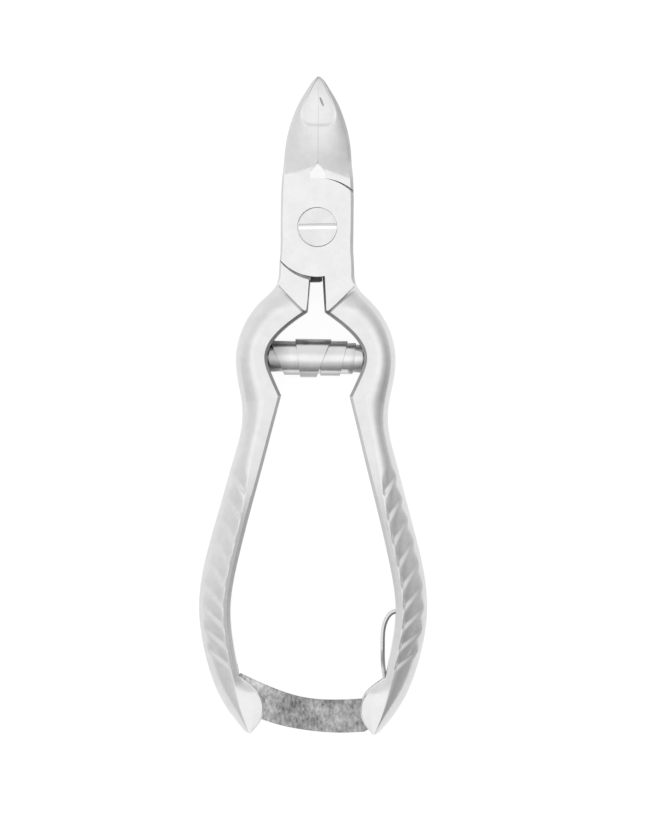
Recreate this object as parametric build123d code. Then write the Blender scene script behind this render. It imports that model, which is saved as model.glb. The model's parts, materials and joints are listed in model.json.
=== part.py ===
from build123d import *
import math
import os

# Nail nipper: two crossed forgings on a lap joint, a barrel spring that opens them, and a latch strap
# that holds the handle ends together. It lies flat: X across, Y towards the jaw tips, Z up.
# Everything is drawn about the pivot axis and moved to the row frame when it is written.

# ---- Driving dimensions (mm) ----
TIP_REACH = 32.1            # pivot to jaw tips
HANDLE_REACH = 107.9        # pivot to handle ends
PIVOT_Y = (HANDLE_REACH - TIP_REACH) / 2
THICKNESS = 8.6             # joint and arms
MID_Z = THICKNESS / 2

HEAD_HALF_WIDTH = 7.75      # lap joint, half its width
PLATE_RADIUS = 10.5         # round ends of the half-thickness plates
SHOULDER_RADIUS = 10.93     # shoulders that the plates turn inside, struck from a point off the pivot
SHOULDER_CENTRE = (0.7, -0.5)
LAP_GAP = 0.06              # between the two plates
JAW_GAP = 0.05              # between the closed cutting edges

SCREW_HEAD_RADIUS = 4.15
SCREW_HEAD_DEPTH = 2.0
COUNTERBORE_RADIUS = 4.25
SHANK_RADIUS = 2.5
PLATE_BORE_RADIUS = 2.55
SCREW_END_RECESS = 0.2
SCREW_SLOT_WIDTH = 1.3
SCREW_SLOT_DEPTH = 0.9
SCREW_SLOT_TURN = 1.5       # degrees

ARM_ROUNDING = 3.7          # palm side of the handles
ARM_INNER_BEVEL = 0.9
JAW_EDGE_BEVEL = 0.7
THROAT = [(0, 13.8), (1.6, 12.0), (1.6, 10.0), (0, 10.0)]     # gap between the jaws behind their edges

SPRING_Y = -27.8            # barrel spring axis, along X
SPRING_HALF_LENGTH = 9.0
SPRING_BAND_RADII = (3.0, 3.4, 3.75, 4.05)      # end band to middle band
SPRING_STRIP = 0.45         # strip thickness
STUD_RADIUS = 1.9
STUD_INNER_X = 7.4
STUD_OUTER_X = 12.2

LATCH_THICKNESS = 1.6
FORK_SLOT = 1.9             # slot in the handle ends, across Z
LATCH_PIVOT = (12.7, -103.4)
LATCH_HEEL_RADIUS = 2.8
LATCH_BORE_RADIUS = 1.35
RIVET_RADIUS = 1.3
CATCH_PIN = (-12.6, -102.2)
CATCH_PIN_RADIUS = 1.0
LATCH_LOCK_TURN = 5.0       # degrees from the rest pose to fully hooked
PIN_END_DEPTH = 0.5         # rivet and pin ends below the faces

LATCH_TOP_EDGE = [(10.7, -100.0), (3.9, -100.3), (-2.5, -99.8), (-7.8, -98.3), (-15.4, -95.3)]
LATCH_BOTTOM_EDGE = [(-11.25, -104.9), (-6.7, -106.3), (-2.5, -107.1), (1.8, -107.6), (7.1, -107.75),
                     (11.2, -107.5)]
NOSE_TIP_DEPTH = 0.85       # hook nose below the seat's centre
NOSE_END = (-16.3, -100.4)

LEAF_THICKNESS = 0.9
LEAF_WIDTH = 4.0
LEAF_TIP_WIDTH = 1.6
LEAF_PATH = [(18.6, -81.6), (16.9, -82.0), (15.5, -83.9), (14.95, -88.5), (15.2, -94.0), (15.75, -98.0),
             (15.3, -101.0)]

# ---- Outlines of the right-hand half, about the pivot ----
JAW_START_Y = 11.0
# Jaw stations: (y, half width, underside z, upper face z)
JAW_STATIONS = [(JAW_START_Y, 7.5, 0.0, THICKNESS), (13.5, 7.25, 0.12, 8.25), (16.7, 7.0, 0.35, 7.65),
                (20.5, 6.35, 0.95, 7.1), (24.3, 5.15, 1.8, 7.0), (27.6, 3.6, 3.6, 7.15),
                (30.2, 1.95, 5.4, 7.7), (31.6, 0.9, 6.7, 8.05), (TIP_REACH, 0.4, 7.3, 8.25)]
CHEEK_EDGE = [(HEAD_HALF_WIDTH, -5.2), (8.0, -9.0), (8.5, -12.0)]
CREASE_OUTER = CHEEK_EDGE[-1]
CREASE_INNER = (1.8, -18.0)
SLOT_TOP = (1.15, -9.5)

# Stations of the right handle as (palm point, finger point), in the three runs between its corners
RING_RUN = [(CREASE_OUTER, CREASE_INNER), ((11.3, -15.2), (4.9, -20.2)), ((15.3, -20.6), (9.0, -24.2)),
            ((17.1, -27.5), (10.3, -28.2)), ((16.6, -33.0), (9.3, -31.5)), ((15.75, -37.6), (7.3, -35.9))]
GRIP_RUN = [RING_RUN[-1], ((15.8, -43.0), (8.9, -42.2)), ((17.2, -48.8), (10.6, -49.0)),
            ((20.3, -60.2), (13.6, -60.6)), ((23.0, -70.4), (16.1, -71.0)), ((24.4, -80.5), (17.6, -80.5)),
            ((23.4, -89.5), (17.0, -88.6)), ((21.4, -96.5), (15.6, -95.8))]
LOBE_RUN = [GRIP_RUN[-1], ((20.6, -98.5), (12.4, -98.2)), ((18.7, -102.1), (10.3, -102.3)),
            ((16.4, -105.4), (11.2, -105.7)), ((14.6, -107.5), (13.0, -HANDLE_REACH))]


def prism(face, low, high):
    """The face, drawn in XY, as a solid from z = low to z = high."""
    return Pos(0, 0, low) * extrude(face, high - low, dir=(0, 0, 1))


def disc(radius, centre=(0, 0)):
    return Pos(*centre) * Circle(radius)


def outline(*curves):
    return make_face(list(curves))


def box_face(x_low, x_high, y_low, y_high):
    middle = ((x_low + x_high) / 2, (y_low + y_high) / 2)
    return Pos(*middle) * Rectangle(x_high - x_low, y_high - y_low)


def turned_over(shape):
    """Half a turn about the Y axis through mid-thickness: swaps left with right and top with bottom."""
    return Pos(0, 0, MID_Z) * Rot(0, 180, 0) * Pos(0, 0, -MID_Z) * shape


def mirrored(shape):
    return mirror(shape, about=Plane.YZ)


# ---- The right-hand outlines as faces ----
def cheek_face():
    """Flat part between the lap joint and the rounded handle."""
    edge = Spline(CHEEK_EDGE, tangents=[(0, -1), (0.25, -1)])
    return outline(edge, Polyline(CREASE_OUTER, CREASE_INNER, SLOT_TOP, (SLOT_TOP[0], 0),
                                  (HEAD_HALF_WIDTH, 0), CHEEK_EDGE[0]))


# ---- Forgings ----
def jaw_section(y, half_width, low, high):
    """Upright section of the right jaw, bevelled along its outer edges."""
    bevel = min(JAW_EDGE_BEVEL, 0.3 * half_width, 0.05 + 0.25 * (y - JAW_START_Y))
    inner_x = JAW_GAP / 2
    points = [(inner_x, low), (half_width - bevel, low), (half_width, low + bevel),
              (half_width, high - bevel), (half_width - bevel, high), (inner_x, high)]
    upright = Plane(origin=(0, y, 0), x_dir=(1, 0, 0), z_dir=(0, -1, 0))
    return upright * make_face(Polyline(*points, close=True))


def jaw_solid():
    """Right jaw at full height from the pivot line to the tip, hollow-ground above and relieved below."""
    inner_x = JAW_GAP / 2
    head = make_face(Polyline((inner_x, 0), (HEAD_HALF_WIDTH, 0), (HEAD_HALF_WIDTH, 3.7),
                              (JAW_STATIONS[0][1], JAW_START_Y), (inner_x, JAW_START_Y), close=True))
    blade = loft([jaw_section(*station) for station in JAW_STATIONS])
    throat = make_face(Polyline(*THROAT, close=True))
    return prism(head, 0, THICKNESS) + blade - prism(throat, -1, THICKNESS + 1)


def handle_section(palm, finger):
    """Upright D-shaped section between two plan points: bevelled at the fingers, round at the palm."""
    across = Vector(palm[0] - finger[0], palm[1] - finger[1], 0)
    width = across.length
    plane = Plane(origin=(*finger, 0), x_dir=across, z_dir=across.cross(Vector(0, 0, 1)))
    rounding = min(ARM_ROUNDING, 0.5 * width)
    bevel = min(ARM_INNER_BEVEL, 0.15 * width)
    side = width - rounding
    diagonal = rounding * math.sqrt(0.5)
    upper, lower = THICKNESS - rounding, rounding
    section = outline(
        Polyline((side, 0), (bevel, 0), (0, bevel), (0, THICKNESS - bevel), (bevel, THICKNESS),
                 (side, THICKNESS)),
        ThreePointArc((side, THICKNESS), (side + diagonal, upper + diagonal), (width, upper)),
        Line((width, upper), (width, lower)),
        ThreePointArc((width, lower), (side + diagonal, lower - diagonal), (side, 0)))
    return plane * section


def handle_solid():
    """Right handle below the crease, lofted in three runs that meet at the corners of its finger side."""
    runs = [loft([handle_section(*station) for station in run]) for run in (RING_RUN, GRIP_RUN, LOBE_RUN)]
    return runs[0] + runs[1] + runs[2]


def crossed_forging(jaw, with_fork_cuts):
    """Right jaw, lower half plate and left handle as one forging, before its own holes."""
    fork = mirrored(handle_solid() - with_fork_cuts)
    cheek = mirrored(cheek_face())
    plate = disc(PLATE_RADIUS) & box_face(-HEAD_HALF_WIDTH, HEAD_HALF_WIDTH, -PLATE_RADIUS, PLATE_RADIUS)
    lower_top = MID_Z - LAP_GAP / 2
    shoulder = Cylinder(SHOULDER_RADIUS, THICKNESS, align=(Align.CENTER, Align.CENTER, Align.MIN))
    upper_half = Pos(*SHOULDER_CENTRE, lower_top) * shoulder
    full_height = (jaw + prism(cheek, 0, THICKNESS)) - upper_half
    return full_height + prism(plate, 0, lower_top) + fork


def fork_slot(face):
    return prism(face, MID_Z - FORK_SLOT / 2, MID_Z + FORK_SLOT / 2)


def right_fork_slot():
    """Room for the latch heel and, beside it, for the tip of the leaf spring."""
    x, y = LATCH_PIVOT
    leaf_room = box_face(x, x + 3.7, y + 1.4, y + 13.4)
    heel_room = disc(LATCH_HEEL_RADIUS + 0.3, LATCH_PIVOT) + box_face(x, x + 1.6, y - 12, y - 2)
    return fork_slot(box_face(0, x, y - 12, y + 13.4) + heel_room + leaf_room)


def left_fork_slot():
    """Room for the hooked end of the latch, drawn on the right and mirrored with the handle."""
    return fork_slot(box_face(0, 17.3, -HANDLE_REACH - 5, -93.3))


def upright_pin(centre, radius, low, high):
    return Pos(*centre, low) * Cylinder(radius, high - low, align=(Align.CENTER, Align.CENTER, Align.MIN))


def stud(side):
    """Peg across X that holds an end of the barrel spring."""
    length = STUD_OUTER_X - STUD_INNER_X
    peg = Cylinder(STUD_RADIUS, length)
    peg = chamfer(peg.edges(), 0.3)
    return Pos(side * (STUD_INNER_X + length / 2), SPRING_Y, MID_Z) * Rot(0, 90, 0) * peg


def lower_arm():
    """Right jaw, lower plate and left handle, bored for the screw, the catch pin and its spring stud."""
    arm = crossed_forging(jaw_solid(), left_fork_slot())
    arm -= upright_pin((0, 0), SHANK_RADIUS, -1, MID_Z)
    arm -= upright_pin(CATCH_PIN, CATCH_PIN_RADIUS, -1, THICKNESS + 1)
    return arm - stud(-1)


def upper_arm():
    """Left jaw, upper plate and right handle, bored for the screw, the rivet, a stud and the leaf spring."""
    arm = turned_over(crossed_forging(turned_over(mirrored(jaw_solid())), right_fork_slot()))
    arm -= upright_pin((0, 0), PLATE_BORE_RADIUS, 0, THICKNESS)
    arm -= upright_pin((0, 0), COUNTERBORE_RADIUS, THICKNESS - SCREW_HEAD_DEPTH, THICKNESS + 1)
    arm -= upright_pin(LATCH_PIVOT, RIVET_RADIUS, -1, THICKNESS + 1)
    return arm - stud(1) - latch_leaf_spring()


# ---- Screw, studs and pins ----
def pivot_screw():
    head_low = THICKNESS - SCREW_HEAD_DEPTH
    head = upright_pin((0, 0), SCREW_HEAD_RADIUS, head_low, THICKNESS)
    slot = Pos(0, 0, THICKNESS) * Rot(0, 0, SCREW_SLOT_TURN) * Box(3 * SCREW_HEAD_RADIUS, SCREW_SLOT_WIDTH,
                                                                 2 * SCREW_SLOT_DEPTH)
    return head - slot + upright_pin((0, 0), SHANK_RADIUS, SCREW_END_RECESS, head_low)


def catch_pin():
    return upright_pin(CATCH_PIN, CATCH_PIN_RADIUS, PIN_END_DEPTH, THICKNESS - PIN_END_DEPTH)


def latch_rivet():
    return upright_pin(LATCH_PIVOT, RIVET_RADIUS, PIN_END_DEPTH, THICKNESS - PIN_END_DEPTH)


# ---- Springs ----
def barrel_spring():
    """Flat strip wound as telescoping bands, widest in the middle; drawn as one stepped, hollow barrel."""
    bands = 2 * len(SPRING_BAND_RADII) - 1
    pitch = 2 * SPRING_HALF_LENGTH / bands
    barrel = None
    for band in range(bands):
        radius = SPRING_BAND_RADII[len(SPRING_BAND_RADII) - 1 - abs(band - bands // 2)]
        centre = (band - (bands - 1) / 2) * pitch
        ring = Cylinder(radius, pitch) - Cylinder(SPRING_BAND_RADII[0] - SPRING_STRIP, pitch)
        ring = Pos(0, 0, centre) * ring
        barrel = ring if barrel is None else barrel + ring
    return Pos(0, SPRING_Y, MID_Z) * Rot(0, 90, 0) * barrel


def latch_leaf_spring():
    """Bowed strip from a pocket in the right handle down to the latch heel, narrower at its tip."""
    blade = prism(trace(Spline(LEAF_PATH), LEAF_THICKNESS), MID_Z - LEAF_WIDTH / 2, MID_Z + LEAF_WIDTH / 2)
    tip_y = LEAF_PATH[-3][1]
    taper_edge = [(tip_y + 4, LEAF_WIDTH / 2), (tip_y, LEAF_TIP_WIDTH / 2),
                  (-HANDLE_REACH, LEAF_TIP_WIDTH / 2), (-HANDLE_REACH, LEAF_WIDTH), (tip_y + 4, LEAF_WIDTH)]
    above = extrude(Plane.YZ * make_face(Polyline(*taper_edge, close=True)), 30, dir=(1, 0, 0))
    return blade - Pos(0, 0, MID_Z) * (above + mirror(above, about=Plane.XY))


# ---- Latch ----
def latch_plate():
    """Curved strap with a round heel at the rivet and a notch that drops over the catch pin."""
    pivot = Vector(*LATCH_PIVOT)
    heel_end = pivot + Vector(LATCH_HEEL_RADIUS, 0).rotate(Axis.Z, -60)
    heel_start = pivot + Vector(LATCH_HEEL_RADIUS, 0).rotate(Axis.Z, 75)
    seat = pivot + (Vector(*CATCH_PIN) - pivot).rotate(Axis.Z, -LATCH_LOCK_TURN)
    seat_radius = CATCH_PIN_RADIUS + 0.1
    top = Spline(LATCH_TOP_EDGE)
    bottom = Spline(LATCH_BOTTOM_EDGE)
    heel = ThreePointArc(heel_start, pivot + Vector(LATCH_HEEL_RADIUS, 0), heel_end)
    seat_arc = ThreePointArc(seat + Vector(seat_radius, 0), seat + Vector(0, seat_radius),
                             seat - Vector(seat_radius, 0))
    nose_tip = seat - Vector(seat_radius, NOSE_TIP_DEPTH)
    face = outline(
        top, Line(LATCH_TOP_EDGE[0], heel_start), heel, Line(heel_end, LATCH_BOTTOM_EDGE[-1]), bottom,
        Line(LATCH_BOTTOM_EDGE[0], seat + Vector(seat_radius, 0)), seat_arc,
        Polyline(seat - Vector(seat_radius, 0), nose_tip, NOSE_END, (-16.7, -98.2), LATCH_TOP_EDGE[-1]))
    low = MID_Z - LATCH_THICKNESS / 2
    plate = prism(face, low, low + LATCH_THICKNESS)
    return plate - upright_pin(LATCH_PIVOT, LATCH_BORE_RADIUS, 0, THICKNESS)


# ---- Every piece by its name ----
PIECES = {
    "arm_jaw_right": lower_arm,
    "arm_jaw_left": upper_arm,
    "pivot_screw": pivot_screw,
    "barrel_spring": barrel_spring,
    "spring_stud_left": lambda: stud(-1),
    "spring_stud_right": lambda: stud(1),
    "latch_plate": latch_plate,
    "latch_rivet": latch_rivet,
    "latch_leaf_spring": latch_leaf_spring,
    "catch_pin": catch_pin,
}

os.makedirs("parts", exist_ok=True)
for name, build in PIECES.items():
    export_step(Pos(0, PIVOT_Y, 0) * build(), f"parts/{name}.step")
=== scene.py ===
"""A nail nipper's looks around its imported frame. Shapes are worked out in millimetres about the pivot axis
(X across, Y towards the jaw tips, Z up from the underside), then placed() puts them in the row frame."""
import bmesh
import bpy
import json
import math
import numpy as np
from mathutils import Matrix, Vector


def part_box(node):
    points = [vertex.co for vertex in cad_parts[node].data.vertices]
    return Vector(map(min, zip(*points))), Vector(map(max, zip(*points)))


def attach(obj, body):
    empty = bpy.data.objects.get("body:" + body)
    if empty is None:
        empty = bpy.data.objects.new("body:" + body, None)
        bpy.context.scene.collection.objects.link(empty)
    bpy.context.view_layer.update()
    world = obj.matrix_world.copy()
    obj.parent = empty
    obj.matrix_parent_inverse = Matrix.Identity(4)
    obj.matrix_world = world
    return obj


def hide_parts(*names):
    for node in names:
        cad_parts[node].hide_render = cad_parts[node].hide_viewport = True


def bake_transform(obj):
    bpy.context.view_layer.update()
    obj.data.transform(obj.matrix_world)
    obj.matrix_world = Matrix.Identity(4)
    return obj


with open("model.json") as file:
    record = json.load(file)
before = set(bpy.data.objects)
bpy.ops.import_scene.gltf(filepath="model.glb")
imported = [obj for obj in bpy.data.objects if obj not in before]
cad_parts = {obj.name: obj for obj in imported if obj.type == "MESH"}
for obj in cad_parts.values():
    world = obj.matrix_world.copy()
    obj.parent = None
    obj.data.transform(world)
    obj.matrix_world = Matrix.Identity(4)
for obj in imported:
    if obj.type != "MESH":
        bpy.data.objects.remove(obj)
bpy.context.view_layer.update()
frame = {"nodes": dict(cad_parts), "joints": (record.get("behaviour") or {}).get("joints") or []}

MM = 0.001
joints = {joint["name"]: joint for joint in frame["joints"]}
PIVOT = np.array(joints["jaw_pivot"]["pos_m"]) / MM
TO_PIVOT = np.array([PIVOT[0], PIVOT[1], 0.0])
LATCH_PIVOT = (np.array(joints["latch_swing"]["pos_m"]) / MM - TO_PIVOT)[:2]
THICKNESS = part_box("arm_jaw_left")[1].z / MM
MID_Z = THICKNESS / 2
TIP_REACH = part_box("arm_jaw_left")[1].y / MM - PIVOT[1]
HANDLE_REACH = PIVOT[1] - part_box("arm_jaw_left")[0].y / MM

# ---- Sizes of the visible forms (mm) ----
HEAD_HALF_WIDTH = 7.75
PLATE_RADIUS = 10.5
JAW_GAP = 0.05              # between the closed cutting edges
LAP_GAP = 0.06              # between the two plates of the joint
SHARP_ANGLE = 28            # degrees between faces from which an edge is shown sharp

# Stations of the right handle as (palm point, finger point), in three runs between the finger side's corners
CREASE = ((8.5, -12.0), (1.8, -18.0))
RING_RUN = [CREASE, ((11.3, -15.2), (4.9, -20.2)), ((15.3, -20.6), (9.0, -24.2)),
            ((17.1, -27.5), (10.3, -28.2)), ((16.6, -33.0), (9.3, -31.5)), ((15.75, -37.6), (7.3, -35.9))]
GRIP_RUN = [RING_RUN[-1], ((15.8, -43.0), (8.9, -42.2)), ((17.2, -48.8), (10.6, -49.0)),
            ((20.3, -60.2), (13.6, -60.6)), ((23.0, -70.4), (16.1, -71.0)), ((24.4, -80.5), (17.6, -80.5)),
            ((23.4, -89.5), (17.0, -88.6)), ((21.4, -96.5), (15.6, -95.8))]
LOBE_RUN = [GRIP_RUN[-1], ((20.6, -98.5), (12.4, -98.2)), ((18.7, -102.1), (10.3, -102.3)),
            ((16.4, -105.4), (11.2, -105.7)), ((14.6, -107.5), (13.0, -HANDLE_REACH))]
CHEEK_RUN = [((HEAD_HALF_WIDTH, -4.5), (1.12, -8.0)), ((8.0, -8.6), (1.45, -13.2)), CREASE]
EMBED = 0.01                # keeps the faces of joined forms from coinciding
RAW_RISE = 0.5              # how far the raw handles pass the flat faces before they are ground flat
RAW_PLATE_RISE = 0.4        # and the raw plates

PALM_SHARE = (0.56, 0.78)   # share of the arm's width that is rounded, at the ring and at the grip
PALM_FULLNESS = (2.2, 1.42) # exponent of the palm side's curve, likewise; 2 is an ellipse
CROWN_DROP = 0.25           # the arms stand this far inside the joint's flat faces
CREASE_DROP = 0.42          # and this far just past the crease
CHEEK_SHARE = 0.02          # rounded share of the width before the crease
CREASE_SHARE = 0.85         # and just past it
FLAT_DROP = 0.3             # fall from the ridge to the finger bevel
BEVEL_ACROSS = 0.65         # finger bevel
BEVEL_FOOT = THICKNESS - 1.1
SLOT_BEVEL = {1: -0.15, -1: 0.15}       # change of the bevel beside the slot between the cheeks, by jaw side
LOBE_START = (95.8, 99.5)   # the ridge and the finger bevel fade out over this reach
LOBE_EDGE = 0.35            # rounding of the lobe's outer edge
LOBE_STEP = 0.04            # what is left of the finger bevel's height along the latch lobe

FLUTE_ENDS = (-50.0, -92.5)  # Y where the flutes start and end
FLUTE_COUNT = 9
FLUTE_DEPTH = 0.55
FLUTE_SLANT = 1.1           # run along the arm for each millimetre in from the palm edge

HEAD_OUTLINE = [(-13.0, 9.25), (-12.0, 8.5), (-9.0, 8.0), (-5.2, 7.75), (0.0, 7.75), (3.7, 7.75), (11.0, 7.5),
                (16.0, 7.05)]
HEAD_BEVEL = {1: (0.65, 0.55), -1: (0.4, 0.3)}      # along the head's right and left: across, down
SHOULDER_CENTRE = (0.7, -0.5)
SHOULDER_RADIUS = 10.93
SLOT_WEB = [(-2.5, -9.0), (-2.5, -11.9), (-1.3, -11.55), (0.8, -11.5), (1.24, -11.2), (1.1, -9.0)]
NICK = (0.68, 26.8)         # small slit beside the cutting edge
NICK_SIZE = (0.25, 1.05)    # half its width and length
NICK_LEAN = math.radians(-22)
NICK_FLOOR = 6.7
COUNTERBORE_RADIUS = 4.27
SCREW_RADIUS = 4.12
BORE_RADIUS = 2.55
HEAD_DEPTH = 2.0
FORK_SLOT = 1.9             # height of the slots in the handle ends

# Right jaw: (distance past the crease, height) down the hollow face, and heights along the underside
JAW_TOP = [(-4.0, 9.3), (0.0, THICKNESS), (3.0, 7.92), (6.0, 7.48), (9.0, 7.24), (12.0, 7.18), (15.0, 7.4),
           (17.5, 7.85), (19.5, 8.3)]
JAW_UNDER = [(0.0, -0.9), (11.0, -0.25), (15.0, 0.0), (18.5, 0.45), (22.0, 1.15), (25.0, 2.05), (27.6, 3.5),
             (30.2, 5.4), (TIP_REACH, 7.35)]
JAW_WIDTHS = [(0.0, 7.75), (3.7, 7.75), (11.0, 7.5), (13.5, 7.25), (16.7, 7.0), (20.5, 6.35), (24.3, 5.15),
              (27.6, 3.6), (30.2, 1.95), (31.6, 0.9), (TIP_REACH, 0.35)]
THROAT = [(0.0, 1.6), (10.6, 1.6), (12.2, 1.65), (13.9, JAW_GAP / 2), (TIP_REACH, JAW_GAP / 2)]
CREASE_LINE = {1: (12.97, 0.38), -1: (13.2, 0.28)}      # side: (height on the centre line, fall per mm)
JAW_START = 0.5             # the jaws' forms start inside the joint
JAW_BEVEL = {1: 0.65, -1: 0.5}      # outer edge, by side
SPOON_START = 21.6
SPOON_CORNER = 3.4
SPOON_DEPTH = 0.13


# ---- Curves ----
def spline(knots, values, at):
    """Natural cubic spline through values at knots, read at the given positions."""
    knots, values, at = (np.asarray(v, float) for v in (knots, values, at))
    values = values.reshape(len(knots), -1)
    gaps, size = np.diff(knots), len(knots)
    system, right = np.eye(size), np.zeros(values.shape)
    for i in range(1, size - 1):
        system[i, i - 1:i + 2] = gaps[i - 1], 2 * (gaps[i - 1] + gaps[i]), gaps[i]
        right[i] = 6 * ((values[i + 1] - values[i]) / gaps[i] - (values[i] - values[i - 1]) / gaps[i - 1])
    bend = np.linalg.solve(system, right)
    span = np.clip(np.searchsorted(knots, at, side="right") - 1, 0, size - 2)
    gap = gaps[span][:, None]
    ahead = (at - knots[span])[:, None]
    behind = gap - ahead
    curve = (bend[span] * behind ** 3 + bend[span + 1] * ahead ** 3) / (6 * gap)
    curve += (values[span] / gap - bend[span] * gap / 6) * behind
    return curve + (values[span + 1] / gap - bend[span + 1] * gap / 6) * ahead


def profile(at, points):
    """Values of a smooth curve through (place, value) points, held level past its ends."""
    knots, values = zip(*points)
    at = np.clip(np.asarray(at, float), knots[0], knots[-1])
    return spline(knots, values, at.ravel())[:, 0].reshape(at.shape)


def chord_lengths(points):
    steps = np.linalg.norm(np.diff(np.asarray(points, float), axis=0), axis=1)
    return np.concatenate([[0.0], np.cumsum(steps)])


def curve_through(points, count):
    knots = chord_lengths(points)
    return spline(knots, points, np.linspace(0, knots[-1], count))


def ease(value, low, high):
    """0 before low, 1 after high, smooth between."""
    t = np.clip((value - low) / (high - low), 0, 1)
    return t * t * (3 - 2 * t)


# ---- Meshes, in millimetres about the pivot until placed() ----
def tube_faces(count, ring, closed):
    """Faces of count rings of points, closed on themselves or with a flat face at each end."""
    faces = []
    for r in range(count if closed else count - 1):
        here, there = r * ring, (r + 1) % count * ring
        faces += [(here + c, here + (c + 1) % ring, there + (c + 1) % ring, there + c) for c in range(ring)]
    if not closed:
        faces.append(tuple(reversed(range(ring))))
        faces.append(tuple(range((count - 1) * ring, count * ring)))
    return faces


def tubes(name, *bodies, closed=False):
    """One object of several tubes, each given as rings of points, with every face outward."""
    whole = bmesh.new()
    for rows in bodies:
        rows = np.asarray(rows, float)
        mesh = bpy.data.meshes.new(name)
        mesh.from_pydata(rows.reshape(-1, 3).tolist(), [], tube_faces(rows.shape[0], rows.shape[1], closed))
        tube = bmesh.new()
        tube.from_mesh(mesh)
        if tube.calc_volume(signed=True) < 0:
            bmesh.ops.reverse_faces(tube, faces=tube.faces)
        tube.to_mesh(mesh)
        tube.free()
        whole.from_mesh(mesh)
        bpy.data.meshes.remove(mesh)
    mesh = bpy.data.meshes.new(name)
    whole.to_mesh(mesh)
    whole.free()
    obj = bpy.data.objects.new(name, mesh)
    bpy.context.scene.collection.objects.link(obj)
    return obj


def circle(radius, centre=(0, 0), start=0, end=360, count=144):
    """Points of a circle or, between two angles in degrees, of an arc with both its ends."""
    full = end - start == 360
    turn = np.radians(np.linspace(start, end, count, endpoint=not full))
    return np.column_stack([centre[0] + radius * np.cos(turn), centre[1] + radius * np.sin(turn)])


def at_height(outline, z):
    flat = np.asarray(outline, float)
    return np.column_stack([flat, np.full(len(flat), z)])


def prism(name, outline, low, high):
    return tubes(name, [at_height(outline, low), at_height(outline, high)])


def rectangle(x_low, x_high, y_low, y_high):
    return [(x_low, y_low), (x_high, y_low), (x_high, y_high), (x_low, y_high)]


def cut(obj, operation, *tools):
    """Applies booleans with the exact solver and removes the tools."""
    for tool in tools:
        modifier = obj.modifiers.new("cut", "BOOLEAN")
        modifier.operation, modifier.object, modifier.solver = operation, tool, "EXACT"
    bpy.context.view_layer.update()
    result = bpy.data.meshes.new_from_object(obj.evaluated_get(bpy.context.evaluated_depsgraph_get()))
    obj.modifiers.clear()
    old, obj.data = obj.data, result
    bpy.data.meshes.remove(old)
    for tool in tools:
        bpy.data.meshes.remove(tool.data)
    return obj


def placed(obj, name, body, node, material):
    """Moves a finished piece to the row frame in metres, smooths it and puts it in its CAD node's place."""
    obj.name = obj.data.name = name
    obj.data.transform(Matrix.Translation(Vector(TO_PIVOT * MM)) @ Matrix.Scale(MM, 4))
    obj.data.shade_smooth()
    obj.data.set_sharp_from_angle(angle=math.radians(SHARP_ANGLE))
    obj.data.materials.clear()
    obj.data.materials.append(material)
    if body:
        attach(obj, body)
    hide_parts(node)
    return obj


def finish_and_shade_faces(obj, material, inside):
    """Gives another material to the faces whose centre (mm) and normal pass the test; mostly painted shade,
    once a bright cut finish.
    """
    obj.data.materials.append(material)
    for face in obj.data.polygons:
        x, y, z = np.array(face.center) / MM - TO_PIVOT
        if inside(x, y, z, face.normal):
            face.material_index = len(obj.data.materials) - 1


# ---- Handles ----
def flute_depth(along, inward, rounded, span):
    """Depth of the flutes at a length along the palm edge and a distance in from it: each deepens slowly,
    then steps back up."""
    pitch = (span[1] - span[0]) / FLUTE_COUNT
    phase = (along[:, None] - span[0] - FLUTE_SLANT * (inward - 2)) / pitch
    inside = ease(phase, -0.05, 0.3) * ease(FLUTE_COUNT - phase, -0.05, 0.3)
    valley = (phase % 1) ** 1.5 * (1 - ease(phase % 1, 0.74, 1.0))
    share = inward / rounded[:, None]
    return FLUTE_DEPTH * valley * inside * ease(share, 0.05, 0.45) * (1 - ease(share, 0.86, 1.0))


def handle_rows(spacing, slot_bevel):
    """Rings of the right handle from inside the joint to its end. slot_bevel is how much wider the finger
    bevel is beside the slot between the cheeks."""
    runs = (CHEEK_RUN, RING_RUN, GRIP_RUN, LOBE_RUN)
    palm_points = [CHEEK_RUN[0][0]] + [palm for run in runs for palm, _ in run[1:]]
    knots = chord_lengths(palm_points)
    reach = [-palm[1] for palm in palm_points]
    flute_span = np.interp([-end for end in FLUTE_ENDS], reach, knots)
    crease_at = knots[len(CHEEK_RUN) - 1]
    rows, first = [], 0
    for run in runs:
        last = first + len(run) - 1
        along = np.linspace(knots[first], knots[last], max(4, int((knots[last] - knots[first]) / spacing)))
        palm = spline(knots, palm_points, along)
        finger = spline(knots[first:last + 1], [finger for _, finger in run], along)
        width = np.linalg.norm(palm - finger, axis=1)
        tab = np.zeros(len(along))
        if run is LOBE_RUN:
            share = (along - knots[first]) / (knots[last] - knots[first])
            tab = np.maximum(width - (5.9 - 4.3 * share ** 1.3), 0)
        rings = handle_rings(along, palm, finger, width, tab, crease_at, flute_span, slot_bevel)
        rows += list(rings if run is CHEEK_RUN else rings[1:])
        first = last
    return rows


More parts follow.
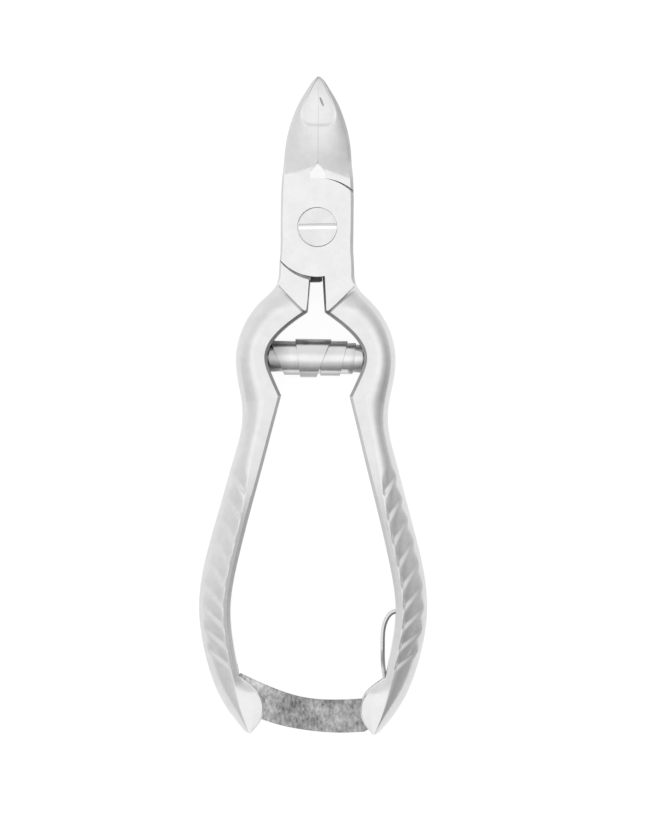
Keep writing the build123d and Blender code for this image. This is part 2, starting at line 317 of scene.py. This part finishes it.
def handle_rings(along, palm, finger, width, tab, crease_at, flute_span, slot_bevel):
    """Rings of one run: the palm curve from below to above, then the top, the finger side and the underside.
    tab is how far the latch lobe stands out from the arm's own finger edge."""
    across = (palm - finger) / width[:, None]
    past = along - crease_at
    grip = ease(-palm[:, 1], 44, 66)
    palm_share = PALM_SHARE[0] + (PALM_SHARE[1] - PALM_SHARE[0]) * grip
    rounded = (width - tab) * (CHEEK_SHARE + (CREASE_SHARE - CHEEK_SHARE) * ease(past, -0.25, 0.45)
                               + (palm_share - CREASE_SHARE) * ease(past, 0.45, 4.5))
    rise = RAW_RISE + CREASE_DROP
    recovery = (CREASE_DROP - CROWN_DROP) * ease(past, 2, 10)
    crown = THICKNESS + RAW_RISE - rise * ease(past, -0.5, 1.1) + recovery
    angle = np.linspace(-math.pi / 2, math.pi / 2, 61)
    power = 2 / (PALM_FULLNESS[0] + (PALM_FULLNESS[1] - PALM_FULLNESS[0]) * grip)[:, None]
    lift = (crown - MID_Z)[:, None]
    u_palm = (width - rounded)[:, None] + rounded[:, None] * np.cos(angle).clip(0, 1)[None, :] ** power
    z_palm = MID_Z + lift * np.sign(angle)[None, :] * np.abs(np.sin(angle))[None, :] ** power
    depth = flute_depth(along, width[:, None] - u_palm, rounded, flute_span)
    u_palm -= depth * np.cos(angle)[None, :]
    z_palm -= depth * np.sin(angle)[None, :]
    lobe = ease(-finger[:, 1], *LOBE_START)
    edge = crown - FLAT_DROP * ease(past, 0, 6) * (1 - lobe)
    foot = BEVEL_FOOT + (edge - LOBE_STEP - BEVEL_FOOT) * lobe
    bevel = BEVEL_ACROSS + slot_bevel * (1 - ease(past, -1.5, 0.3))
    bevel = np.minimum(bevel, 0.8 * (width - tab - rounded))
    key_u = np.stack([width - rounded, tab + bevel, 0.6 * tab, np.minimum(LOBE_EDGE, 0.3 * tab), 0 * tab], 1)
    key_z = np.stack([crown, edge, foot, foot - 0.05 * tab, foot - 0.05 * tab - LOBE_EDGE], 1)
    share = np.concatenate([[k + (i + 1) / count for i in range(count)]
                            for k, count in enumerate((8, 4, 10, 6))])
    part = np.minimum(share.astype(int), 3)
    part = np.where(share == part, part - 1, part)
    step = (share - part)[None, :]
    u_top = key_u[:, part] * (1 - step) + key_u[:, part + 1] * step
    z_top = key_z[:, part] * (1 - step) + key_z[:, part + 1] * step
    wall = np.linspace(1, -1, 7)[None, 1:-1]
    z_wall = MID_Z + (z_top[:, -1:] - MID_Z) * wall
    u = np.concatenate([u_palm, u_top, 0 * z_wall, u_top[:, ::-1]], 1)
    z = np.concatenate([z_palm, z_top, z_wall, THICKNESS - z_top[:, ::-1]], 1)
    plan = finger[:, None, :] + across[:, None, :] * u[:, :, None]
    return np.concatenate([plan, z[:, :, None]], 2)


# ---- Jaws ----
def jaw_rows(side, spacing):
    """Rings of a jaw on the +X or -X side: hollow above, with a flatter spoon near the tip, relieved
    below."""
    y = np.concatenate([np.arange(JAW_START, 9.6, 1.0),
                        np.linspace(9.6, TIP_REACH, int((TIP_REACH - 9.6) / spacing))])
    half, inner = profile(y, JAW_WIDTHS), np.interp(y, *zip(*THROAT))
    bevel = np.minimum(JAW_BEVEL[side], 0.25 * half)
    rim = half - bevel
    inner_bevel = np.minimum(0.03, 0.1 * half)
    share = np.linspace(0, 1, 37)[None, :]
    x_top = (inner + inner_bevel)[:, None] + (rim - inner - inner_bevel)[:, None] * share
    z_top = jaw_top(side, x_top, y[:, None], half[:, None])
    x_under = inner[:, None] + (rim - inner)[:, None] * share[:, ::-2]
    z_under = profile(y, JAW_UNDER)[:, None] + 1.3 * np.clip(x_under / half[:, None], 0, 1) ** 3 * (
        np.minimum(1, half / 4) * ease(y, 12, 20))[:, None]
    room = z_top[:, -1] - z_under[:, 0]
    z_high = z_top[:, -1] - np.minimum(0.75 * bevel, 0.35 * room)
    z_low = z_under[:, 0] + np.minimum(0.75 * bevel, 0.35 * room)
    step = np.linspace(0, 1, 5)[None, :]
    z_wall = z_high[:, None] * (1 - step) + z_low[:, None] * step
    x_wall = np.repeat(half[:, None], 5, 1)
    z_edge = (z_top[:, 0] - inner_bevel)[:, None]
    z_in = z_under[:, -1:] + (z_edge - z_under[:, -1:]) * np.array([[0.33, 0.67, 1.0]])
    xs = np.concatenate([x_top, x_wall, x_under, np.repeat(inner[:, None], 3, 1)], 1)
    zs = np.concatenate([z_top, z_wall, z_under, z_in], 1)
    return np.stack([side * xs, np.repeat(y[:, None], xs.shape[1], 1), zs], 2)


def jaw_top(side, x, y, half):
    """Height of the ground face, which leaves the flat of the joint along a slanting crease."""
    centre, fall = CREASE_LINE[side]
    hollow = profile(y - centre + fall * x, JAW_TOP)
    crown = 0.018 * x ** 2 * ease(y, 11, 15) + 0.5 * np.clip(x / half, 0, 1) ** 5 * ease(y, 14, 22)
    from_side, from_start = 0.76 * half - x, y - SPOON_START
    inside = SPOON_CORNER - np.hypot(np.maximum(SPOON_CORNER - from_side, 0),
                                     np.maximum(SPOON_CORNER - from_start, 0))
    return hollow - crown - SPOON_DEPTH * ease(inside, 0, 0.5)


# ---- Forgings ----
def mirrored(rows):
    return np.asarray(rows) * (-1, 1, 1)


def slab():
    """The space between the two flat faces, with the head's side bevels."""
    rows = []
    first, last = HEAD_OUTLINE[0][0], HEAD_OUTLINE[-1][0]
    right, left = HEAD_BEVEL[1], HEAD_BEVEL[-1]
    for y in [-HANDLE_REACH - 5, first - 0.4, *np.linspace(first, last, 59), last + 0.6, TIP_REACH + 5]:
        half = float(profile(y, HEAD_OUTLINE)) + 0.02 if first <= y <= last else 60.0
        upper = [(half, THICKNESS - right[1]), (half - right[0], THICKNESS), (left[0] - half, THICKNESS),
                 (-half, THICKNESS - left[1])]
        lower = [(x, THICKNESS - z) for x, z in reversed(upper)]
        rows.append([(x, y, z) for x, z in upper + lower])
    return tubes("slab", rows)


def plate_outline():
    """Round-ended plate of the lap joint."""
    turn = math.degrees(math.acos((HEAD_HALF_WIDTH - EMBED) / PLATE_RADIUS))
    return np.concatenate([circle(PLATE_RADIUS, start=turn, end=180 - turn),
                           circle(PLATE_RADIUS, start=180 + turn, end=360 - turn)])


def forging(jaw_side, spacing):
    """One arm: a jaw, half of the lap joint and the handle on the other side. The jaw on +X has the lower
    plate."""
    lower = jaw_side > 0
    handle = handle_rows(spacing, SLOT_BEVEL[jaw_side])
    body = tubes("arm", jaw_rows(jaw_side, spacing), mirrored(handle) if lower else handle)
    lap = MID_Z - jaw_side * LAP_GAP / 2
    clear = circle(SHOULDER_RADIUS, (SHOULDER_CENTRE[0] * jaw_side, SHOULDER_CENTRE[1]))
    ends = (lap, THICKNESS + 2) if lower else (-2, lap)
    cut(body, "DIFFERENCE", prism("clear", clear, *ends))
    plate = (-RAW_PLATE_RISE, lap - EMBED) if lower else (lap + EMBED, THICKNESS + RAW_PLATE_RISE)
    cut(body, "UNION", prism("plate", plate_outline(), *plate))
    cut(body, "INTERSECT", slab())
    return body


def fork_slot(outline):
    return prism("slot", outline, MID_Z - FORK_SLOT / 2, MID_Z + FORK_SLOT / 2)


def lower_arm():
    """Right jaw, lower plate and left handle."""
    body = forging(1, SPACING)
    cut(body, "DIFFERENCE", prism("bore", circle(BORE_RADIUS), -1, THICKNESS + 1))
    cut(body, "DIFFERENCE", fork_slot(rectangle(-17.3, 0, -HANDLE_REACH - 5, -93.3)))
    cut(body, "UNION", prism("web", SLOT_WEB, 0.1, MID_Z - 0.1))
    turn = np.linspace(0, 2 * math.pi, 32, endpoint=False)
    nick = np.column_stack([NICK_SIZE[0] * np.cos(turn), NICK_SIZE[1] * np.sin(turn)])
    cosine, sine = math.cos(NICK_LEAN), math.sin(NICK_LEAN)
    nick = nick @ [[cosine, -sine], [sine, cosine]] + NICK
    cut(body, "DIFFERENCE", prism("nick", nick, NICK_FLOOR, THICKNESS + 1))
    return body


def upper_arm():
    """Left jaw, upper plate and right handle."""
    x, y = LATCH_PIVOT
    body = forging(-1, SPACING)
    cut(body, "DIFFERENCE", prism("bore", circle(BORE_RADIUS), -1, THICKNESS + 1),
        prism("counterbore", circle(COUNTERBORE_RADIUS), THICKNESS - HEAD_DEPTH, THICKNESS + 1),
        fork_slot(rectangle(0, x + 1.0, -HANDLE_REACH - 5, y + 13.4)),      # where the strap swings
        fork_slot(circle(3.1, (x, y))),                                     # around the latch's heel
        fork_slot(rectangle(x, x + 3.7, y + 1.4, y + 13.5)),                # up the handle from the heel
        fork_slot(rectangle(x + 0.5, x + 1.6, y - 12, y - 2)))              # down through the handle's tip
    return body


# ---- Screw, pins and springs ----
def pivot_screw():
    """Flush head with a slot that has one sloping side."""
    head_low = THICKNESS - HEAD_DEPTH
    radii = [(0.2, 2.3), (0.4, 2.5), (head_low, 2.5), (head_low, SCREW_RADIUS),
             (THICKNESS - 0.03, SCREW_RADIUS), (THICKNESS, SCREW_RADIUS - 0.03)]
    body = tubes("screw", [at_height(circle(radius), z) for z, radius in radii])
    section = [(-0.5, THICKNESS + 0.3), (-0.45, THICKNESS - 0.6), (0.2, THICKNESS - 0.6),
               (0.7, THICKNESS - 0.4), (0.75, THICKNESS + 0.3)]
    slot = tubes("slot", [[(x, y, z) for y, z in section] for x in (-6, 6)])
    slot.data.transform(Matrix.Rotation(math.radians(1.6), 4, "Z"))
    cut(body, "DIFFERENCE", slot)
    body.data.transform(Matrix.Translation((0.12, 0.06, 0)))
    return body


def pin(name, centre, radius):
    return tubes(name, [at_height(circle(r, centre, count=48), z) for z, r in
                        ((1.9, radius - 0.1), (2.0, radius), (THICKNESS - 2.0, radius),
                         (THICKNESS - 1.9, radius - 0.1))])


SPRING_Y = -27.8
SPRING_STRIP = 0.4
# Turns of the strip: (outer radius, left end at the top and bottom of the view, right end likewise)
SPRING_TURNS = [(3.0, -10.1, -9.9, 10.1, 10.0), (3.35, -8.6, -6.0, 8.6, 7.9), (3.65, -9.8, -6.7, -1.0, -1.0),
                (3.75, 1.0, 1.0, 6.8, 5.2), (4.12, -4.4, -3.3, 3.3, 0.2)]


def barrel_spring():
    """Flat strip wound in telescoping turns about an axis along X, each with slanting edges."""
    turn = np.linspace(0, 2 * math.pi, 120, endpoint=False)
    slant = (1 - np.sin(turn)) / 2
    turns = []
    for radius, left_top, left_bottom, right_top, right_bottom in SPRING_TURNS:
        left = left_top + (left_bottom - left_top) * slant
        right = right_top + (right_bottom - right_top) * slant
        share = np.concatenate([[0, 0], np.linspace(0.012, 0.988, 14), [1, 1]])
        outer = radius - np.array([SPRING_STRIP, 0.06] + [0] * 14 + [0.06, SPRING_STRIP])
        x = left[:, None] + (right - left)[:, None] * share
        rings = np.stack([x, outer * np.sin(turn)[:, None], outer * np.cos(turn)[:, None]], 2)
        turns.append(rings + np.array([0, SPRING_Y, MID_Z]))
    return tubes("spring", *turns, closed=True)


LEAF_PATH = [(18.6, -81.6), (16.9, -82.0), (15.5, -83.9), (14.95, -88.5), (15.2, -94.0), (15.75, -98.0),
             (15.3, -101.0)]


def leaf_spring():
    """Bowed blade that narrows to its tip and is held in the right handle."""
    path = curve_through(LEAF_PATH, 90)
    ahead = np.gradient(path, axis=0)
    side = np.column_stack([-ahead[:, 1], ahead[:, 0]]) / np.linalg.norm(ahead, axis=1)[:, None]
    half_width = 2.0 - 1.2 * ease(-path[:, 1], 89.5, 94)
    section = [(-0.45, 0.92), (-0.38, 1), (0.0, 1), (0.45, 0.8), (0.45, -0.8), (0.0, -1), (-0.38, -1),
               (-0.45, -0.92)]
    rows = [[(*(point + across * out), MID_Z + up * half) for out, up in section]
            for point, across, half in zip(path, side, half_width)]
    return tubes("leaf", rows)


# ---- Latch ----
LATCH_THICKNESS = 1.6
LATCH_TOP = [(10.7, -100.5), (3.9, -100.8), (-2.5, -100.2), (-7.8, -98.6), (-15.4, -95.3)]
LATCH_BOTTOM = [(-11.25, -104.9), (-6.7, -106.3), (-2.5, -107.1), (1.8, -107.6), (7.1, -107.75),
                (11.2, -107.5)]
LATCH_EDGE = 0.16           # bevel of its edges
CATCH_PIN = (-12.6, -102.2)
LATCH_LOCK_TURN = math.radians(-5)      # from the locked pose back to rest
HEEL_RADIUS = 2.8


def latch_plate():
    """Curved strap with a round heel and a notch for the catch pin, its edges broken."""
    arm = np.subtract(CATCH_PIN, LATCH_PIVOT)
    cosine, sine = math.cos(LATCH_LOCK_TURN), math.sin(LATCH_LOCK_TURN)
    seat = LATCH_PIVOT + (cosine * arm[0] - sine * arm[1], sine * arm[0] + cosine * arm[1])
    outline = np.concatenate([
        curve_through(LATCH_TOP[::-1], 60)[1:], circle(HEEL_RADIUS, LATCH_PIVOT, 75, -60, 40),
        curve_through(LATCH_BOTTOM[::-1], 60), circle(1.1, seat, 0, 180, 24),
        [seat - (1.1, 0.85), (-16.3, -100.4), (-16.7, -98.2), LATCH_TOP[-1]]])
    inset = inset_outline(outline, LATCH_EDGE)
    low = MID_Z - LATCH_THICKNESS / 2
    high = low + LATCH_THICKNESS
    return tubes("latch", [at_height(inset, low), at_height(outline, low + LATCH_EDGE),
                           at_height(outline, high - LATCH_EDGE), at_height(inset, high)])


def inset_outline(outline, depth):
    """Moves a clockwise outline inward."""
    outline = np.asarray(outline, float)
    along = np.roll(outline, -1, 0) - np.roll(outline, 1, 0)
    along /= np.linalg.norm(along, axis=1)[:, None]
    return outline + depth * np.column_stack([along[:, 1], -along[:, 0]])


# ---- Materials ----
def node_tree(material):
    material.use_nodes = True
    tree = material.node_tree
    tree.nodes.clear()
    return tree


def add(tree, kind, inputs=None, **settings):
    """Adds a node, sets its values and links its inputs from other nodes' sockets."""
    node = tree.nodes.new(kind)
    for name, value in settings.items():
        setattr(node, name, value)
    for name, value in (inputs or {}).items():
        socket = node.inputs[name]
        if isinstance(value, bpy.types.NodeSocket):
            tree.links.new(value, socket)
        else:
            socket.default_value = value
    return node


def steel(name, shade=0.8, roughness=0.2, mottle=0.05, grain=0.03, stretch=(1, 1, 1), turn=0.0, scale=900,
          bump=0.02):
    """Steel whose brightness, roughness and relief vary over broad patches and fine grinding marks."""
    material = bpy.data.materials.new(name)
    tree = node_tree(material)
    place = add(tree, "ShaderNodeTexCoord").outputs["Object"]
    lined = add(tree, "ShaderNodeMapping", {"Vector": place, "Rotation": (0, 0, turn), "Scale": stretch})
    broad = add(tree, "ShaderNodeTexNoise", {"Vector": place, "Scale": 260.0, "Detail": 3.0,
                                             "Roughness": 0.6})
    fine = add(tree, "ShaderNodeTexNoise", {"Vector": lined.outputs[0], "Scale": float(scale),
                                            "Detail": 4.0, "Roughness": 0.65})
    patch = add(tree, "ShaderNodeMapRange", {"Value": broad.outputs["Fac"], "From Min": 0.3, "From Max": 0.7,
                                             "To Min": shade - mottle, "To Max": shade + mottle})
    marks = add(tree, "ShaderNodeMapRange", {"Value": fine.outputs["Fac"], "From Min": 0.3, "From Max": 0.7,
                                             "To Min": -grain, "To Max": grain})
    sum_ = add(tree, "ShaderNodeMath", {0: patch.outputs[0], 1: marks.outputs[0]}, operation="ADD")
    colour = add(tree, "ShaderNodeCombineColor", {0: sum_.outputs[0], 1: sum_.outputs[0], 2: sum_.outputs[0]})
    rough = add(tree, "ShaderNodeMapRange", {"Value": fine.outputs["Fac"], "From Min": 0.3, "From Max": 0.7,
                                             "To Min": roughness * 0.8, "To Max": roughness * 1.2})
    relief = add(tree, "ShaderNodeBump", {"Height": fine.outputs["Fac"], "Strength": bump,
                                          "Distance": 0.0002})
    shader = add(tree, "ShaderNodeBsdfPrincipled", {
        "Base Color": colour.outputs[0], "Metallic": 1.0, "Roughness": rough.outputs[0],
        "Normal": relief.outputs[0]})
    add(tree, "ShaderNodeOutputMaterial", {"Surface": shader.outputs[0]})
    return material


def fade(material, axis, start, end, share):
    """Multiplies a steel's brightness by 1 at start and by share at end, two places along a row frame axis
    in millimetres."""
    tree = material.node_tree
    shader = next(node for node in tree.nodes if node.type == "BSDF_PRINCIPLED")
    old = shader.inputs["Base Color"].links[0].from_socket
    place = add(tree, "ShaderNodeSeparateXYZ", {0: add(tree, "ShaderNodeTexCoord").outputs["Object"]})
    change = add(tree, "ShaderNodeMapRange", {
        "Value": place.outputs[axis], "From Min": start * MM, "From Max": end * MM,
        "To Min": 1.0, "To Max": share}, interpolation_type="SMOOTHSTEP")
    mix = add(tree, "ShaderNodeVectorMath", {0: old, 1: change.outputs[0]}, operation="MULTIPLY")
    tree.links.new(mix.outputs[0], shader.inputs["Base Color"])


SPACING = 0.3

forged = steel("forged_steel", shade=0.7, roughness=0.2, mottle=0.025, grain=0.02)
screw_steel = steel("screw_steel", shade=0.68, roughness=0.24, mottle=0.04, grain=0.03)
bright_cut = steel("bright_cut", shade=0.9, roughness=0.3, mottle=0.02)
spring_steel = steel("spring_steel", shade=0.74, roughness=0.22, mottle=0.04, grain=0.02, bump=0.0)
latch_steel = steel("latch_steel", shade=0.34, roughness=0.4, mottle=0.16, grain=0.18, stretch=(1, 0.6, 1),
                    turn=math.radians(40), scale=1700, bump=0.4)
spring_axis = PIVOT[1] + SPRING_Y
# Painted shade on the wound spring: darker along its top and bottom edges and towards its left end.
fade(spring_steel, 1, spring_axis + 2.9, spring_axis + 3.7, 0.35)
fade(spring_steel, 1, spring_axis - 2.8, spring_axis - 3.5, 0.55)
fade(spring_steel, 0, -5.0, -9.3, 0.6)
fade(latch_steel, 0, -7.0, -11.5, 1.4)
leaf_steel = steel("leaf_steel", shade=0.62, roughness=0.28)
pin_steel = steel("pin_steel", shade=0.7, roughness=0.3)
# Painted shade: a dark steel for edges, gaps, the slit, the leaf's inner side, the spring's step and its
# studs.
painted_shade_steel = steel("painted_shade_steel", shade=0.42, roughness=0.35, mottle=0.04, grain=0.03)
# Near-black painted shade for the web deep between the cheeks.
deep_painted_shade = steel("deep_painted_shade", shade=0.1, roughness=0.5, mottle=0.02, grain=0.01)


def lap_face(x, y, z, normal):
    """Faces of the plates that meet inside the joint; they get painted shade where they show in the gaps."""
    return abs(z - MID_Z) < 0.13 and abs(normal.z) > 0.9


def web_face(x, y, z, normal):
    """The top of the web and the lap faces beside it, between the cheeks; they get near-black painted shade.
    """
    return lap_face(x, y, z, normal) and y < -9 and abs(x) < 2.6


def inner_wall(x, y, z, normal):
    """Upright and sloping faces inside the ring, between the cheeks and around the screw; they get painted
    shade.
    """
    ring = -36 < y < -17.6 and abs(x) < min(10.9, 5 - 0.8 * (y + 18))
    cheeks = -17.9 < y < -9 and abs(x) < 2.6
    around_screw = z > THICKNESS - 2 and math.hypot(x, y) < 4.5
    return abs(normal.z) < 0.93 and (ring or cheeks or around_screw)


def nick_face(x, y, z, normal):
    """The small slit's floor and walls; they get painted shade."""
    return math.dist((x, y), NICK) < 1.2 and (
        abs(z - NICK_FLOOR) < 0.01 or abs(normal.z) < 0.05 and x > 0.05)


# ---- The object ----
lower = placed(lower_arm(), "right_jaw_and_left_handle", "lower_arm", "arm_jaw_right", forged)
upper = placed(upper_arm(), "left_jaw_and_right_handle", "upper_arm", "arm_jaw_left", forged)
# Painted shade in the joint's gaps, on the ring's inner edges, on the slot walls and around the screw;
# near-black painted shade on the web.
for arm in (lower, upper):
    finish_and_shade_faces(arm, painted_shade_steel, lap_face)
    finish_and_shade_faces(arm, deep_painted_shade, web_face)
    finish_and_shade_faces(arm, painted_shade_steel, inner_wall)
# Painted shade in the slit beside the cutting edge.
finish_and_shade_faces(lower, painted_shade_steel, nick_face)
screw = placed(pivot_screw(), "screw", "lower_arm", "pivot_screw", screw_steel)
finish_and_shade_faces(screw, bright_cut, lambda x, y, z, normal: normal.z > 0.9 and 0.5 < THICKNESS - z < 0.7)
placed(latch_plate(), "latch_strap", "latch", "latch_plate", latch_steel)
leaf = placed(leaf_spring(), "latch_leaf", "upper_arm", "latch_leaf_spring", leaf_steel)
# Painted shade along the leaf's inner side.
finish_and_shade_faces(leaf, painted_shade_steel, lambda x, y, z, normal: normal.x > 0.25 and y < -83)
placed(pin("rivet", LATCH_PIVOT, 1.3), "latch_pivot_rivet", "upper_arm", "latch_rivet", pin_steel)
placed(pin("catch", CATCH_PIN, 1.0), "latch_catch_pin", "lower_arm", "catch_pin", pin_steel)
spring = placed(barrel_spring(), "wound_spring", None, "barrel_spring", spring_steel)
# Painted shade on the end faces where the outer turn steps down.
finish_and_shade_faces(spring, painted_shade_steel, lambda x, y, z, normal: normal.x > 0.5 and 0 < x < 3.5)
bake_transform(spring)
# Painted shade on the spring's studs, darkening the spring's ends.
for node in ("spring_stud_left", "spring_stud_right"):
    stud = frame["nodes"][node]
    stud.data.materials.clear()
    stud.data.materials.append(painted_shade_steel)

# ---- Table, just below the tool so that their faces never coincide, and light ----
floor = prism("table", circle(2000.0, count=96), -10, -0.1)
floor.name = "table"
floor.data.transform(Matrix.Scale(MM, 4))
paper = bpy.data.materials.new("paper")
tree = node_tree(paper)
shader = add(tree, "ShaderNodeBsdfPrincipled", {"Base Color": (0.15, 0.15, 0.15, 1), "Roughness": 0.9,
                                                "Specular IOR Level": 0.0, "Emission Color": (1, 1, 1, 1),
                                                "Emission Strength": 0.92})
add(tree, "ShaderNodeOutputMaterial", {"Surface": shader.outputs[0]})
floor.data.materials.append(paper)


def sky():
    """White tent: bright overhead, darker low down, most of all on the +X side."""
    world = bpy.data.worlds.new("tent")
    bpy.context.scene.world = world
    tree = node_tree(world)
    towards = add(tree, "ShaderNodeTexCoord").outputs["Generated"]
    split = add(tree, "ShaderNodeSeparateXYZ", {0: towards})
    x, y, z = split.outputs

    def maths(operation, *values):
        return add(tree, "ShaderNodeMath", dict(enumerate(values)), operation=operation).outputs[0]

    def ramp(stops):
        node = add(tree, "ShaderNodeValToRGB", {0: z})
        for i, (place, share) in enumerate(stops):
            stop = node.color_ramp.elements[i] if i < 2 else node.color_ramp.elements.new(place)
            stop.position, stop.color = place, (share, share, share, 1)
        return node.outputs[0]

    # along the horizon: light on -X and +Y, darker on +X, darkest on -Y
    horizon = maths("ADD", maths("MULTIPLY", x, maths("MULTIPLY_ADD", x, 0.26, -0.12)),
                    maths("MULTIPLY_ADD", y, maths("MULTIPLY_ADD", y, 0.12, 0.28), 0.37))
    climb = ramp([(0.2, 0.0), (1.0, 1.0), (0.5, 0.15), (0.87, 0.52), (0.965, 0.9)])
    dip = ramp([(0.25, 0.0), (0.97, 0.0), (0.55, 1.0), (0.8, 1.0)])
    dip = maths("MULTIPLY", dip, maths("MULTIPLY", maths("MAXIMUM", x, 0.0), 0.17))
    shade = maths("ADD", horizon, maths("MULTIPLY", maths("SUBTRACT", 1.0, horizon), climb))
    shade = maths("SUBTRACT", shade, dip)
    background = add(tree, "ShaderNodeBackground", {"Color": shade, "Strength": 1.26})
    add(tree, "ShaderNodeOutputWorld", {"Surface": background.outputs[0]})


sky()
bpy.context.scene.view_settings.view_transform = "Standard"

camera = bpy.data.objects.new("camera", bpy.data.cameras.new("camera"))
bpy.context.scene.collection.objects.link(camera)
camera.location = (0.0021, -0.0015, 0.8086)
camera.rotation_euler = (0, 0, math.radians(0.6107))
camera.data.sensor_fit = "VERTICAL"
camera.data.sensor_height = 24
camera.data.lens = 109.4
bpy.context.scene.camera = camera
